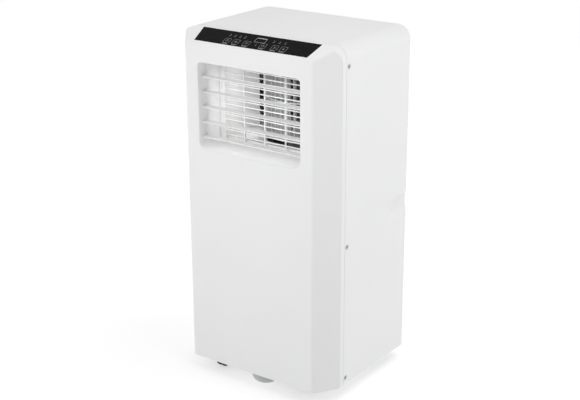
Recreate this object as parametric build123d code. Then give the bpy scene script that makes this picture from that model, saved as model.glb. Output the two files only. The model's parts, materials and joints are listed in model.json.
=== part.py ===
from build123d import *
import math
import os

# Portable air conditioner, millimetres, +Z up. Origin: centre of the cabinet's plan, at the floor.
# The front faces -Y.

# Cabinet
W = 355.0
D = 280.0
H = 690.0
FLOOR_GAP = 25.0
WALL = 2.8
FRONT = -D / 2
BACK = D / 2
HALF = W / 2
NOSE_X = 32.5            # width of each side chamfer of the front
NOSE_Y = 45.3            # depth of the chamfers
NOSE_Z = 20.5            # drop of the top chamfer
CORNER_R = 27.0          # top corners
NOSE_FILLET = 10.0       # soft edge round the front flat
MITRE_FILLET = 8.0       # between the side and top chamfers
BACK_FILLET = 8.0
FOOT_R = 5.0
SEAM_Y = FRONT + 57.0
SEAM_GAP = 0.9
TONGUE = 7.0
GAP = 0.3                # clearance between neighbouring pieces

# Air outlet
OUT_HALF = 116.0
OUT_LOW = 466.5
OUT_HIGH = 633.0
OUT_R_LOW = 16.0
OUT_R_HIGH = 8.0
OUT_LIP = 2.6
MOUTH_DEPTH = 25.0
DUCT_DEPTH = 50.0
DUCT_TAPER = 9.0
DUCT_RISE = 2.5

# Louvers
LOUVERS = 5
LOUVER_PITCH = 29.1
LOUVER_LOW = 487.1
LOUVER_CHORD = 15.0
LOUVER_T = 2.2
LOUVER_Y = FRONT + 17.0
LOUVER_HALF = OUT_HALF - 1.0
PIN_R = 1.5
RUN = 0.05               # radial running clearance
CRANK = 11.0
LINK_X = 110.0
LINK_T = 2.5
LINK_NOTCH = 2.5         # how far behind its turning axis a blade is cut back beside the link

# Safety grid
GRID_Y = FRONT + 51.0
GRID_T = 4.0
GRID_HALF = 95.0
GRID_PITCH = 10.0
GRID_RIB = 47.5
BAR_T = 1.6

# Upper blower: upright drum behind the grid
DRUM_X = 33.0
DRUM_Y = 5.0
DRUM_R = 80.0
DRUM_LOW = 489.0
DRUM_HIGH = 640.0
DRUM_BLADES = 36
SHAFT_R = 4.0
SHAFT_LEN = 30.0         # how far a fan's shaft runs into its motor

# Upper scroll
SCROLL_FLOOR = 480.0
SCROLL_SKIRT = 11.0      # depth of the floor's turned-down front edge
SCROLL_TOP = 647.0
SCROLL_WALL = 2.5
SCROLL_HALF = 98.0
SCROLL_RIGHT = 26.0
SCROLL_BACK = 88.0

# Lower blower: wheel with a front-to-back axis
FAN_X = 66.0
FAN_Z = 165.0
FAN_R = 68.0
FAN_FRONT = -12.0
FAN_BACK = 36.0
FAN_BLADES = 32

# Rear intakes
INTAKE_HALF = 146.0
UPPER_INTAKE = (478.0, 654.0)
LOWER_INTAKE = (62.0, 250.0)
FRAME_T = 6.0
SLAT_PITCH = 9.0

# Exhaust socket
EXHAUST_Z = 345.0
EXHAUST_R = 65.0
EXHAUST_LEN = 26.0
COLLAR_T = 3.0

# Base, casters
PAN_LOW = FLOOR_GAP + 3.0
PAN_T = 3.0
PAN_HIGH = 60.0
WELL_R = 33.0
WELL_TOP = 46.0
CASTERS = {"front_left": (-97.0, -94.0, -90.0), "front_right": (97.0, -94.0, 90.0),
           "rear_left": (-118.0, 92.0, 90.0), "rear_right": (118.0, 92.0, 90.0)}
WHEEL_R = 16.0
WHEEL_W = 6.0
TRAIL = 10.0
WEB = 4.0
AXLE_R = 3.0
STEM_R = 4.0
BOWL_X, BOWL_Y = 11.0, -106.0
BOWL_R_TOP, BOWL_R_LOW = 29.0, 25.0
BOWL_LOW = 2.5

# Compressor and coils
COMP = (-78.0, -20.0)
COMP_R = 55.0
COMP_LOW = 50.0
COMP_HIGH = 262.0
CAN_T = 3.5
CAN_ROUND = 16.0
PUMP_R = 36.0
PUMP_GAP = 70.0
ACCU = (-150.0, 14.0)
ACCU_R = 18.0
COIL_HALF = 140.0
COND_Y = (92.0, 116.0)
COND_Z = (80.0, 262.0)
EVAP_Y = (93.0, 117.0)
EVAP_Z = (482.0, 650.0)
EVAP_ROWS = 8
COND_ROWS = 9
DECK_Z = 420.0

SCREW_Z = (41.4, 310.6, 652.0)
SCREW_Y = -75.5

# Housing details
TONGUE_T = 1.6           # thickness of the joint's inner tongue
PAN_INSET = WALL + TONGUE_T + 3 * GAP
MOUTH_WALL = 2.5
PIN_DEEP = 2.6
CRANK_R = 1.2
LINK_LOUVER = 2          # the louver whose crank carries the link
SEAT_R = 4.6
SEAT_DEEP = 2.0
BOSS_R = 5.0
BOSS_DEEP = 14.0
SCREW_R = 1.6
SCREW_HEAD_R = 3.6
SCREW_HEAD_T = 1.6
SIDE_SCREW_LEN = 10.0
REAR_SCREW_LEN = 8.0
REAR_SCREW_X = 160.0
REAR_SCREWS = [(side * REAR_SCREW_X, z) for z in (80.0, 300.0, 655.0) for side in (-1, 1)]
HANDLE_DEEP = 5.5
HANDLE_Z = (316.0, 361.0)
HANDLE_RAMP = 17.0
HANDLE_Y = FRONT + 211.0
DUCT_SLEEVE = 4.5
SCROLL_START = 57.0
GUIDE_TURN = -25.0
GUIDE_STEPS = 10
GUIDE_END = (-90.1, 14.5)  # plan position of the left guide's rear end
TONGUE_END = (SCROLL_HALF + 16.0, -38.0)
DRUM_BLADE = 12.0
FAN_BLADE = 12.0
HUB_R = 16.0
MOTOR_R = 38.0
NECK_X = 30.0
NECK_HALF = 42.0
NECK_TOP = 264.0
EXHAUST_X = 30.0
BEND_R = 3.6
RIM = 9.0
SLAT_T = 2.4
DRAINS = {"upper": (120.0, 438.0), "lower": (150.0, 42.0)}
DRAIN_R = 9.0
TRAY_BACK = BACK - 16.0
INLET = (-150.0, 40.0)
INLET_R = 8.0
INLET_BORE = 3.6
FEET = ((-50.0, -36.0), (50.0, -36.0), (0.0, 60.0))
HOOD_R = 19.0
HOOD_W = 19.0
ACCU_LOW = 90.0
ACCU_HIGH = 240.0
DRIER = (160.0, 62.0)
DRIER_Z = (130.0, 200.0)
DRIER_R = 10.0
SUCTION_Z = 300.0
EBOX_X = (-120.0, 60.0)
EBOX_Y = (-128.0, -76.0)
EBOX_Z = (296.0, 396.0)
CAP = (100.0, -100.0, (300.0, 370.0))
FLOAT = (140.0, -60.0)

# Control panel, measured up the slope of the top chamfer
PANEL_LOW = 7.2
PANEL_HIGH = 48.6
PANEL_HALF_LOW = 127.0
PANEL_HALF_HIGH = 134.0
LENS_T = 2.0
LENS_SUNK = 0.15
LENS_BACK = LENS_T + 3 * LENS_SUNK
TRAY_T = 2.0
TRAY_DEEP = 12.0
BOARD_LIFT = 9.0
BOARD_T = 1.6
BUTTON_UP = 11.0
BUTTON_X = (-58.5, -38.0, -14.0, 23.0, 49.0, 68.5)
DISPLAY_X = 10.0
DISPLAY_UP = 6.0
DISPLAY_W = 26.0
DISPLAY_H = 13.0

PARTS = {}


def keep(name, shape):
    PARTS[name] = shape


def block(x, y, z):
    """Box between two limits on each axis."""
    size = (x[1] - x[0], y[1] - y[0], z[1] - z[0])
    centre = ((x[0] + x[1]) / 2, (y[0] + y[1]) / 2, (z[0] + z[1]) / 2)
    return Pos(*centre) * Box(*size)


def shrink(span, inset):
    return (span[0] + inset, span[1] - inset)


def rod_x(x, y, z, r):
    """Cylinder along X between x[0] and x[1]."""
    return Pos((x[0] + x[1]) / 2, y, z) * Rot(0, 90, 0) * Cylinder(r, x[1] - x[0])


def rod_y(y, x, z, r):
    return Pos(x, (y[0] + y[1]) / 2, z) * Rot(90, 0, 0) * Cylinder(r, y[1] - y[0])


def rod_z(x, y, z, r):
    return Pos(x, y, (z[0] + z[1]) / 2) * Cylinder(r, z[1] - z[0])


def front_plane(y):
    """Plane facing the front, whose own axes are X and Z."""
    return Plane((0, y, 0), x_dir=(1, 0, 0), z_dir=(0, -1, 0))


def rounded(half, low, high, r_low, r_high):
    """Upright rectangle with its own radii at the bottom and top corners."""
    face = make_face(Polyline((-half, low), (half, low), (half, high), (-half, high), close=True))
    face = fillet(face.vertices().group_by(Axis.Y)[0], r_low)
    return fillet(face.vertices().group_by(Axis.Y)[-1].filter_by(lambda v: v.Y > high - 0.01), r_high)


def nose_inset(inset, width):
    """How far a chamfer's front edge moves in when the wall moves in by inset."""
    slope = math.hypot(NOSE_Y, width)
    return inset * (slope - width) / NOSE_Y


def plan_face(inset, radius):
    """Plan of the cabinet, moved in by inset, with its corners rounded unless radius is 0."""
    half = HALF - inset
    flat = HALF - NOSE_X - nose_inset(inset, NOSE_X)
    front = FRONT + inset
    back = BACK - inset
    mid = FRONT + NOSE_Y + nose_inset(inset, NOSE_X) / 2
    points = [(-flat, front), (flat, front), (half, mid), (half, back), (-half, back), (-half, mid)]
    face = make_face(Polyline(*points, close=True))
    if radius == 0:
        return face
    face = fillet(face.vertices().group_by(Axis.Y)[0], radius)
    return fillet(face.vertices().group_by(Axis.Y)[-1], max(BACK_FILLET - inset, 1.5))


def top_wedge(inset):
    """What the top chamfer takes off a square-topped form."""
    front = FRONT + inset
    top = H - inset
    flat_top = H - NOSE_Z - nose_inset(inset, NOSE_Z)
    mid = FRONT + NOSE_Y + nose_inset(inset, NOSE_Z) / 2
    slope = (top - flat_top) / (mid - front)
    points = [(front - 20, flat_top - 20 * slope), (mid + 20, top + 20 * slope), (front - 20, top + 60)]
    face = make_face(Polyline(*points, close=True))
    return extrude(Plane((-W, 0, 0), x_dir=(0, 1, 0), z_dir=(1, 0, 0)) * face, amount=2 * W)


def cabinet_form(inset, low):
    """Closed form of the cabinet, moved in by inset on every side but the bottom."""
    plan = Pos(0, 0, low - 10) * extrude(plan_face(inset, 0), amount=H + 20)
    front_face = rounded(HALF - inset, low, H - inset, FOOT_R, CORNER_R - inset)
    form = (plan & extrude(front_plane(BACK + 1) * front_face, amount=D + 2)) - top_wedge(inset)
    mitres = form.edges().filter_by(GeomType.LINE).filter_by(is_mitre)
    form = fillet(mitres, MITRE_FILLET - inset)
    nose = form.edges().filter_by(lambda e: abs(e.center().Y - FRONT - inset) < 0.01)
    form = fillet(nose.filter_by(lambda e: e.center().Z > low + 1), NOSE_FILLET - inset)
    rear = form.edges().filter_by(lambda e: abs(e.center().Y - BACK + inset) < 0.01)
    return fillet(rear.filter_by(lambda e: e.center().Z > low + FOOT_R + 1), BACK_FILLET - inset)


def is_mitre(edge):
    """True for the slanting edge between the side and top chamfers."""
    c = edge.center()
    in_nose = FRONT + NOSE_FILLET < c.Y < FRONT + NOSE_Y and c.Z > H - NOSE_Z - NOSE_FILLET
    return in_nose and abs(c.X) > HALF - NOSE_X


OUTER = cabinet_form(0, FLOOR_GAP)
INNER = cabinet_form(WALL, FLOOR_GAP - 20)


def chamfer_plane(across, up, lift):
    """Plane lying on the top chamfer: local Y runs up the slope from its front edge."""
    slope = math.hypot(NOSE_Y, NOSE_Z)
    normal = (0, -NOSE_Z / slope, NOSE_Y / slope)
    run = (0, NOSE_Y / slope, NOSE_Z / slope)
    y = FRONT + run[1] * up + normal[1] * lift
    z = H - NOSE_Z + run[2] * up + normal[2] * lift
    return Plane((across, y, z), x_dir=(1, 0, 0), z_dir=normal)


def on_chamfer(face, lift, thick):
    """Plate lying on the top chamfer, its outer face at lift above the chamfer."""
    return extrude(chamfer_plane(0, 0, lift) * face, amount=-thick)


def trapezoid(half_low, half_high, low, high):
    corners = [(-half_low, low), (half_low, low), (half_high, high), (-half_high, high)]
    return make_face(Polyline(*corners, close=True))


def panel_face(grow):
    return trapezoid(PANEL_HALF_LOW + grow, PANEL_HALF_HIGH + grow, PANEL_LOW - grow, PANEL_HIGH + grow)


def outlet_face(grow):
    return rounded(OUT_HALF + grow, OUT_LOW - grow, OUT_HIGH + grow, OUT_R_LOW + grow, OUT_R_HIGH + grow)


def louver_heights():
    return [LOUVER_LOW + LOUVER_PITCH * i for i in range(LOUVERS)]


def screw_bosses():
    """Countersunk seats of the side screws, cut from the rear housing."""
    seats = None
    for side in (-1, 1):
        for z in SCREW_Z:
            seat = rod_x(sorted((side * (HALF - SEAT_DEEP), side * (HALF + 1))), SCREW_Y, z, SEAT_R)
            hole = rod_x(sorted((side * (HALF - 12), side * (HALF + 1))), SCREW_Y, z, SCREW_R + GAP)
            seats = seat + hole if seats is None else seats + seat + hole
    return seats


def rim_band(inset, thick, y0, y1):
    """Band that follows the sides and top of the cabinet, open at the bottom."""
    outer = front_plane(y0) * rounded(HALF - inset, FLOOR_GAP + 3, H - inset, FOOT_R, CORNER_R - inset)
    deep = inset + thick
    inner = front_plane(y0 - 1) * rounded(HALF - deep, FLOOR_GAP - 20, H - deep, FOOT_R, CORNER_R - deep)
    return extrude(outer, amount=-(y1 - y0)) - extrude(inner, amount=-(y1 - y0 + 2))


def front_shell():
    front_half = block((-W, W), (FRONT - 1, SEAM_Y - SEAM_GAP / 2), (0, H + 1))
    shell = (OUTER - INNER) & front_half
    tongue = rim_band(WALL + GAP, TONGUE_T, SEAM_Y - TONGUE, SEAM_Y + TONGUE)
    bridge = rim_band(WALL - 0.5, TONGUE_T + GAP + 0.5, SEAM_Y - TONGUE, SEAM_Y - SEAM_GAP / 2)
    shell = shell + tongue + bridge
    collar = extrude(front_plane(FRONT + 1) * outlet_face(MOUTH_WALL), amount=-(MOUTH_DEPTH - 1))
    shell = shell + collar
    opening = extrude(front_plane(FRONT - 1) * outlet_face(0), amount=-(MOUTH_DEPTH + 2))
    shell = shell - opening
    lip = shell.edges().filter_by(is_outlet_edge)
    shell = fillet(lip, OUT_LIP)
    for z in louver_heights():
        shell -= rod_x((-OUT_HALF - PIN_DEEP, OUT_HALF + PIN_DEEP), LOUVER_Y, z, PIN_R + RUN)
    shell -= on_chamfer(panel_face(GAP), 5, 15)
    for side in (-1, 1):
        for z in SCREW_Z:
            reach = sorted((side * (HALF - WALL - GAP - TONGUE_T - 1), side * HALF))
            shell -= rod_x(reach, SCREW_Y, z, SCREW_R + RUN)
            boss = rod_x(sorted((side * (HALF - BOSS_DEEP), side * (HALF - WALL - GAP))), SCREW_Y, z, BOSS_R)
            bore = rod_x(sorted((side * (HALF - BOSS_DEEP - 1), side * HALF)), SCREW_Y, z, SCREW_R + RUN)
            shell = shell + (boss - bore)
    return shell


def is_outlet_edge(edge):
    c = edge.center()
    inside = abs(c.X) < OUT_HALF + 1 and OUT_LOW - 1 < c.Z < OUT_HIGH + 1
    return abs(c.Y - FRONT) < 0.01 and inside


def handle_pocket(side, grow):
    """Shallow grip recess open through the rear corner."""
    deep = HANDLE_DEEP + grow
    low, high = HANDLE_Z[0] - grow, HANDLE_Z[1] + grow
    out = HALF + 2
    inn = HALF - deep
    points = [(out, low), (out, high), (inn, high - deep), (inn, low + HANDLE_RAMP)]
    face = make_face(Polyline(*[(side * x, z) for x, z in points], close=True))
    start = HANDLE_Y - grow
    prism = extrude(front_plane(start) * face, amount=-(BACK + 2 - start))
    ramp_points = [(out, start - 2), (inn, start + deep + 4), (inn, BACK + 2), (out, BACK + 2)]
    ramp = make_face(Polyline(*[(side * x, y) for x, y in ramp_points], close=True))
    return prism & extrude(Pos(0, 0, low - 1) * ramp, amount=high - low + 2)


def intake_cut(zone):
    return block((-INTAKE_HALF, INTAKE_HALF), (BACK - 20, BACK + 1), zone)


def rear_housing():
    outer, inner = OUTER, INNER
    for side in (-1, 1):
        outer -= handle_pocket(side, 0)
        inner -= handle_pocket(side, WALL)
    rear = block((-W, W), (SEAM_Y + SEAM_GAP / 2, BACK + 1), (0, H + 1))
    shell = (outer - inner) & rear
    shell -= intake_cut(UPPER_INTAKE)
    shell -= intake_cut(LOWER_INTAKE)
    shell -= rod_y((BACK - 20, BACK + 1), EXHAUST_X, EXHAUST_Z, EXHAUST_R + COLLAR_T + GAP)
    shell -= screw_bosses()
    for x, z in DRAINS.values():
        shell -= rod_y((BACK - 20, BACK + 1), x, z, DRAIN_R + GAP)
    shell -= rod_y((BACK - 20, BACK + 1), INLET[0], INLET[1], INLET_R + GAP)
    for x, z in REAR_SCREWS:
        shell -= rod_y((BACK - 20, BACK + 1), x, z, SCREW_R + GAP)
        shell -= rod_y((BACK - SEAT_DEEP, BACK + 1), x, z, SEAT_R)
    return shell


def screw(length):
    """Pan-head screw along -Z, head up, its head's underside at the origin."""
    head = Cylinder(SCREW_HEAD_R, SCREW_HEAD_T, align=(Align.CENTER, Align.CENTER, Align.MIN))
    head = fillet(head.edges().group_by(Axis.Z)[-1], 0.8)
    shank = Pos(0, 0, -length / 2) * Cylinder(SCREW_R, length)
    cross = Box(SCREW_HEAD_R * 1.2, 1.0, 2) + Box(1.0, SCREW_HEAD_R * 1.2, 2)
    return head + shank - Pos(0, 0, SCREW_HEAD_T) * cross


def casing_screws():
    """Three screws on each side and six in the back."""
    solids = []
    one = screw(SIDE_SCREW_LEN)
    for side in (-1, 1):
        for z in SCREW_Z:
            solids.append(Pos(side * (HALF - SEAT_DEEP), SCREW_Y, z) * Rot(0, 90 * side, 0) * one)
    for x, z in REAR_SCREWS:
        solids.append(Pos(x, BACK - SEAT_DEEP, z) * Rot(-90, 0, 0) * screw(REAR_SCREW_LEN))
    return Compound(solids)


def duct_section(depth, share, grow):
    """Cross-section of the outlet duct at a depth: share goes from 0 at its mouth to 1 at its end."""
    half = OUT_HALF - DUCT_TAPER * share + grow
    low = OUT_LOW + DUCT_RISE * share - grow
    high = OUT_HIGH + grow
    face = rounded(half, low, high, OUT_R_LOW * (1 - share / 2) + grow, OUT_R_HIGH + grow)
    return front_plane(FRONT + depth) * face


def outlet_duct():
    start = MOUTH_DEPTH + GAP
    outer = loft([duct_section(start, 0, MOUTH_WALL), duct_section(DUCT_DEPTH, 1, MOUTH_WALL)], ruled=True)
    inner = loft([duct_section(start, 0, 0), duct_section(DUCT_DEPTH, 1, 0)], ruled=True)
    ring_out = extrude(duct_section(DUCT_DEPTH, 1, MOUTH_WALL), amount=-DUCT_SLEEVE)
    ring_in = extrude(duct_section(DUCT_DEPTH, 1, 0), amount=-DUCT_SLEEVE)
    return (outer - inner) + (ring_out - ring_in)


def safety_grid():
    low, high = OUT_LOW + DUCT_RISE + GAP, OUT_HIGH - GAP
    y = (GRID_Y, GRID_Y + GRID_T)
    ribs = 2 * int(GRID_HALF / GRID_RIB) + 1
    grid = block((-GRID_HALF - BAR_T, -GRID_HALF + BAR_T), y, (low, high))
    for i in range(1, ribs):
        x = -GRID_HALF + GRID_RIB * i
        wide = BAR_T if i == ribs - 1 else BAR_T / 2
        grid += block((x - wide, x + wide), y, (low, high))
    bars = int((high - low - 4) / GRID_PITCH)
    start = (low + high) / 2 - GRID_PITCH * bars / 2
    bar_y = (GRID_Y + 0.6, GRID_Y + GRID_T - 0.6)
    for i in range(bars + 1):
        z = start + GRID_PITCH * i
        grid += block((-GRID_HALF, GRID_HALF), bar_y, (z - BAR_T / 2, z + BAR_T / 2))
    reach = OUT_HALF - DUCT_TAPER - GAP
    for side in (-1, 1):
        grid += block(sorted((side * GRID_HALF, side * reach)), (y[1] - BAR_T, y[1]), (low + 6, high - 6))
    return grid


def louver(z):
    """Blade with a round front edge, end pins on its turning axis and a crank pin for the link."""
    front = LOUVER_Y - LOUVER_CHORD / 2
    back = LOUVER_Y + LOUVER_CHORD / 2
    nose_r = LOUVER_T / 2
    blade = block((-LOUVER_HALF, LOUVER_HALF), (front + nose_r, back), (z - nose_r, z + nose_r))
    blade += rod_x((-LOUVER_HALF, LOUVER_HALF), front + nose_r, z, nose_r)
    blade += rod_x((-OUT_HALF - PIN_DEEP + GAP, -LOUVER_HALF + 1), LOUVER_Y, z, PIN_R)
    blade += rod_x((LOUVER_HALF - 1, OUT_HALF + PIN_DEEP - GAP), LOUVER_Y, z, PIN_R)
    blade += rod_x((-LOUVER_HALF, LOUVER_HALF), LOUVER_Y, z, nose_r + 0.5)
    crank_y = LOUVER_Y + CRANK
    ear_x = (LINK_X - LINK_T - GAP - 2.4, LINK_X - LINK_T - GAP)
    behind = (LOUVER_Y + LINK_NOTCH, back + 1)
    blade -= block((ear_x[1], LOUVER_HALF + 1), behind, (z - nose_r - 1, z + nose_r + 1))
    blade += block(ear_x, (back - 1, crank_y), (z - 1.6, z + 1.6))
    blade += rod_x(ear_x, crank_y, z, 1.6)
    return blade + rod_x((ear_x[0], LINK_X + 1), crank_y, z, CRANK_R)


def louver_link():
    z0, z1 = louver_heights()[0], louver_heights()[-1]
    y = LOUVER_Y + CRANK
    x = (LINK_X - LINK_T, LINK_X)
    bar = block(x, (y - 3, y + 3), (z0, z1)) + rod_x(x, y, z0, 3) + rod_x(x, y, z1, 3)
    for i, z in enumerate(louver_heights()):
        slack = RUN if i == LINK_LOUVER else GAP
        bar -= rod_x((x[0] - 1, x[1] + 1), y, z, CRANK_R + slack)
    return bar


def control_lens():
    return on_chamfer(panel_face(0), -LENS_SUNK, LENS_T)


def control_tray():
    """Tray under the lens: a flat rim in the shell's window and a shallow box for the board."""
    top = -LENS_T - 2 * LENS_SUNK
    rim = on_chamfer(panel_face(0), top, TRAY_T) - on_chamfer(panel_face(-3), 0, 20)
    half = PANEL_HALF_LOW - 1
    low, high = PANEL_LOW + 1, PANEL_HIGH - 1
    box = on_chamfer(trapezoid(half, half, low, high), top, TRAY_DEEP)
    hollow = on_chamfer(trapezoid(half - 2, half - 2, low + 2, high - 2), 0, TRAY_DEEP + LENS_T - 2)
    return rim + box - hollow


def control_board():
    low, high = PANEL_LOW + 5, PANEL_HIGH - 5
    half = PANEL_HALF_LOW - 8
    board = on_chamfer(trapezoid(half, half, low, high), -BOARD_LIFT, BOARD_T)
    for x in (-half + 20, half - 20):
        hole = on_chamfer(Pos(x, low + 4) * Circle(1.6), 0, 20)
        board -= hole
    return board


def display_module():
    centre = (PANEL_LOW + PANEL_HIGH) / 2 + DISPLAY_UP
    face = Pos(DISPLAY_X, centre) * Rectangle(DISPLAY_W, DISPLAY_H)
    return on_chamfer(face, -LENS_BACK, BOARD_LIFT - LENS_BACK - GAP)


def touch_springs():
    """Coiled contacts between the board and the lens, drawn as short sleeves."""
    ring = Circle(3.5) - Circle(2.6)
    tall = BOARD_LIFT - LENS_BACK - GAP
    up = PANEL_LOW + BUTTON_UP
    return Compound([on_chamfer(Pos(x, up) * ring, -LENS_BACK, tall) for x in BUTTON_X])


def wheel_blades(count, r_in, r_out, low, high, lean):
    """Curved blades of a blower wheel standing between two heights."""
    blades = []
    mid = (r_in + r_out) / 2
    outer = Pos(mid + 1, lean) * Circle(lean + 7) - Pos(mid + 1, lean) * Circle(lean + 6)
    window = Pos(mid, 0) * Rectangle(r_out - r_in, 14)
    face = outer & window & (Pos(mid, -6) * Rectangle(r_out - r_in + 2, 12))
    one = extrude(Pos(0, 0, low) * face, amount=high - low)
    for i in range(count):
        blades.append(Rot(0, 0, 360 * i / count) * one)
    return blades


def ring_z(r_in, r_out, low, high):
    return rod_z(0, 0, (low, high), r_out) - rod_z(0, 0, (low - 1, high + 1), r_in)


def upper_blower():
    """Upright drum: end and middle rings, a bottom disc moulded on to its shaft, and curved blades."""
    r_in = DRUM_R - DRUM_BLADE
    low, high = DRUM_LOW, DRUM_HIGH
    mid = (low + high) / 2
    drum = rod_z(0, 0, (low, low + 3), DRUM_R) + rod_z(0, 0, (low, low + 20), HUB_R)
    drum += ring_z(r_in, DRUM_R, high - 3, high) + ring_z(r_in, DRUM_R, mid - 1, mid + 1)
    for blade in wheel_blades(DRUM_BLADES, r_in, DRUM_R - 0.6, low + 1, high - 1, 6):
        drum += blade
    drum += rod_z(0, 0, (SCROLL_FLOOR - SHAFT_LEN, low + 1), SHAFT_R)
    return Pos(DRUM_X, DRUM_Y, 0) * drum


def lower_blower():
    """Wheel with a front-to-back axis: hub disc and shaft at the front, open at the back."""
    deep = FAN_BACK - FAN_FRONT
    r_in = FAN_R - FAN_BLADE
    wheel = rod_z(0, 0, (0, 3), FAN_R) + rod_z(0, 0, (0, 18), HUB_R) + ring_z(r_in, FAN_R, deep - 3, deep)
    for blade in wheel_blades(FAN_BLADES, r_in, FAN_R - 0.6, 1, deep - 1, 6):
        wheel += blade
    wheel += rod_z(0, 0, (-SHAFT_LEN, 1), SHAFT_R)
    return Pos(FAN_X, FAN_FRONT, FAN_Z) * Rot(-90, 0, 0) * wheel


def bar_between(a, b, thick):
    """Flat bar with round ends between two points."""
    angle = math.degrees(math.atan2(b.Y - a.Y, b.X - a.X))
    run = math.hypot(b.X - a.X, b.Y - a.Y)
    centre = Pos((a.X + b.X) / 2, (a.Y + b.Y) / 2) * Rot(0, 0, angle)
    end = Circle(thick / 2)
    return centre * Rectangle(run, thick) + Pos(a.X, a.Y) * end + Pos(b.X, b.Y) * end


def trace(line, thick):
    """Flat strip of even width along a line in the XY plane."""
    strip = None
    for edge in line.edges():
        count = 1 if edge.geom_type == GeomType.LINE else GUIDE_STEPS
        ends = [edge.position_at(i / count) for i in range(count + 1)]
        for a, b in zip(ends, ends[1:]):
            piece = bar_between(a, b, thick)
            strip = piece if strip is None else strip + piece
    return strip


def upper_scroll():
    """Floor with the drum's opening and a front skirt, left guide and right tongue round the drum."""
    y0 = FRONT + SCROLL_START
    x = (-SCROLL_HALF - SCROLL_WALL, SCROLL_HALF + SCROLL_RIGHT)
    floor = block(x, (y0, SCROLL_BACK), (SCROLL_FLOOR - SCROLL_WALL, SCROLL_FLOOR))
    floor += block(x, (y0, y0 + SCROLL_WALL), (SCROLL_FLOOR - SCROLL_SKIRT, SCROLL_FLOOR))
    floor -= rod_z(DRUM_X, DRUM_Y, (SCROLL_FLOOR - 5, SCROLL_FLOOR + 1), DRUM_R + 2)
    guide_line = Line((-SCROLL_HALF, y0), (-SCROLL_HALF, GUIDE_TURN))
    guide_arc = TangentArc((-SCROLL_HALF, GUIDE_TURN), GUIDE_END, tangent=(0, 1))
    guide = trace(guide_line + guide_arc, SCROLL_WALL)
    tongue_line = Polyline((SCROLL_HALF, y0), (SCROLL_HALF + 2, y0 + 8), TONGUE_END)
    tongue = trace(tongue_line, SCROLL_WALL)
    walls = extrude(Pos(0, 0, SCROLL_FLOOR - 1) * (guide + tongue), amount=SCROLL_TOP - SCROLL_FLOOR + 1)
    return floor + walls


def upper_scroll_cover():
    x = (-SCROLL_HALF - SCROLL_WALL, SCROLL_HALF + SCROLL_RIGHT)
    return block(x, (FRONT + SCROLL_START, SCROLL_BACK), (SCROLL_TOP + GAP, SCROLL_TOP + GAP + SCROLL_WALL))


def upper_fan_motor():
    top = SCROLL_FLOOR - SCROLL_WALL - GAP
    body = rod_z(DRUM_X, DRUM_Y, (top - 36, top - 6), MOTOR_R)
    body = fillet(body.edges().filter_by(GeomType.CIRCLE), 3)
    body += rod_z(DRUM_X, DRUM_Y, (top - 6, top), MOTOR_R - 12)
    for i in range(3):
        arm = Rot(0, 0, 120 * i - 30) * block((20, DRUM_R + 9), (-5, 5), (top - 3, top))
        body += Pos(DRUM_X, DRUM_Y, 0) * arm
    return body - rod_z(DRUM_X, DRUM_Y, (SCROLL_FLOOR - SHAFT_LEN - 1, top + 1), SHAFT_R + RUN)


def lower_scroll():
    """Spiral housing of the lower blower, open at the back towards the coil and at its top outlet."""
    front, back = FAN_FRONT - 6, FAN_BACK + 4
    outline = lower_outline(0)
    hollow = lower_outline(-SCROLL_WALL)
    body = extrude(front_plane(back) * outline, amount=back - front)
    inside = extrude(front_plane(back + 1) * hollow, amount=back - front + 1 - SCROLL_WALL)
    body -= inside
    return body - rod_y((front - 1, front + 5), FAN_X, FAN_Z, MOTOR_R - 8)


def lower_outline(grow):
    """Round spiral with a straight outlet going up on its left."""
    r = FAN_R + 14 + grow
    disc = Pos(FAN_X - 3, FAN_Z) * Circle(r)
    half = NECK_HALF + grow
    neck = Pos(NECK_X, (FAN_Z + NECK_TOP) / 2) * Rectangle(2 * half, NECK_TOP - FAN_Z)
    return disc + neck


def lower_scroll_cover():
    """Flat back of the lower scroll with its round inlet."""
    y0 = FAN_BACK + 4 + GAP
    plate = extrude(front_plane(y0 + 2.5) * lower_outline(0), amount=2.5)
    return plate - rod_y((y0 - 1, y0 + 4), FAN_X, FAN_Z, FAN_R - FAN_BLADE)


def lower_fan_motor():
    front = FAN_FRONT - 6 - GAP
    body = rod_y((front - 40, front - 4), FAN_X, FAN_Z, MOTOR_R)
    body = fillet(body.edges().filter_by(GeomType.CIRCLE), 3)
    body += rod_y((front - 4, front), FAN_X, FAN_Z, MOTOR_R - 4)
    return body - rod_y((FAN_FRONT - SHAFT_LEN - 1, front + 1), FAN_X, FAN_Z, SHAFT_R + RUN)


def exhaust_duct():
    """Box over the scroll's neck, with a round outlet at the back for the socket."""
    x = (EXHAUST_X - EXHAUST_R - 9, EXHAUST_X + EXHAUST_R + 9)
    y = (FAN_FRONT - 6, BACK - EXHAUST_LEN - GAP)
    z = (NECK_TOP + GAP, EXHAUST_Z + EXHAUST_R + 8)
    body = block(x, y, z)
    body = fillet(body.edges().filter_by(Axis.Y), 12)
    wall = SCROLL_WALL
    hollow = block((x[0] + wall, x[1] - wall), (y[0] + wall, y[1] - wall), (z[0] + wall, z[1] - wall))
    body -= hollow
    body -= rod_y((y[1] - 5, y[1] + 1), EXHAUST_X, EXHAUST_Z, EXHAUST_R + COLLAR_T / 2)
    neck = block((NECK_X - NECK_HALF + wall, NECK_X + NECK_HALF - wall),
                 (y[0] + wall, FAN_BACK + 4 - wall), (z[0] - 1, z[0] + 5))
    return body - neck


def exhaust_socket():
    """Round socket for the exhaust hose's adapter, flush with the back."""
    y = (BACK - EXHAUST_LEN, BACK)
    socket = rod_y(y, EXHAUST_X, EXHAUST_Z, EXHAUST_R + COLLAR_T)
    flange_y = (BACK - WALL - GAP - 3, BACK - WALL - GAP)
    socket += rod_y(flange_y, EXHAUST_X, EXHAUST_Z, EXHAUST_R + COLLAR_T + 7)
    return socket - rod_y((y[0] - 1, y[1] + 1), EXHAUST_X, EXHAUST_Z, EXHAUST_R)


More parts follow.
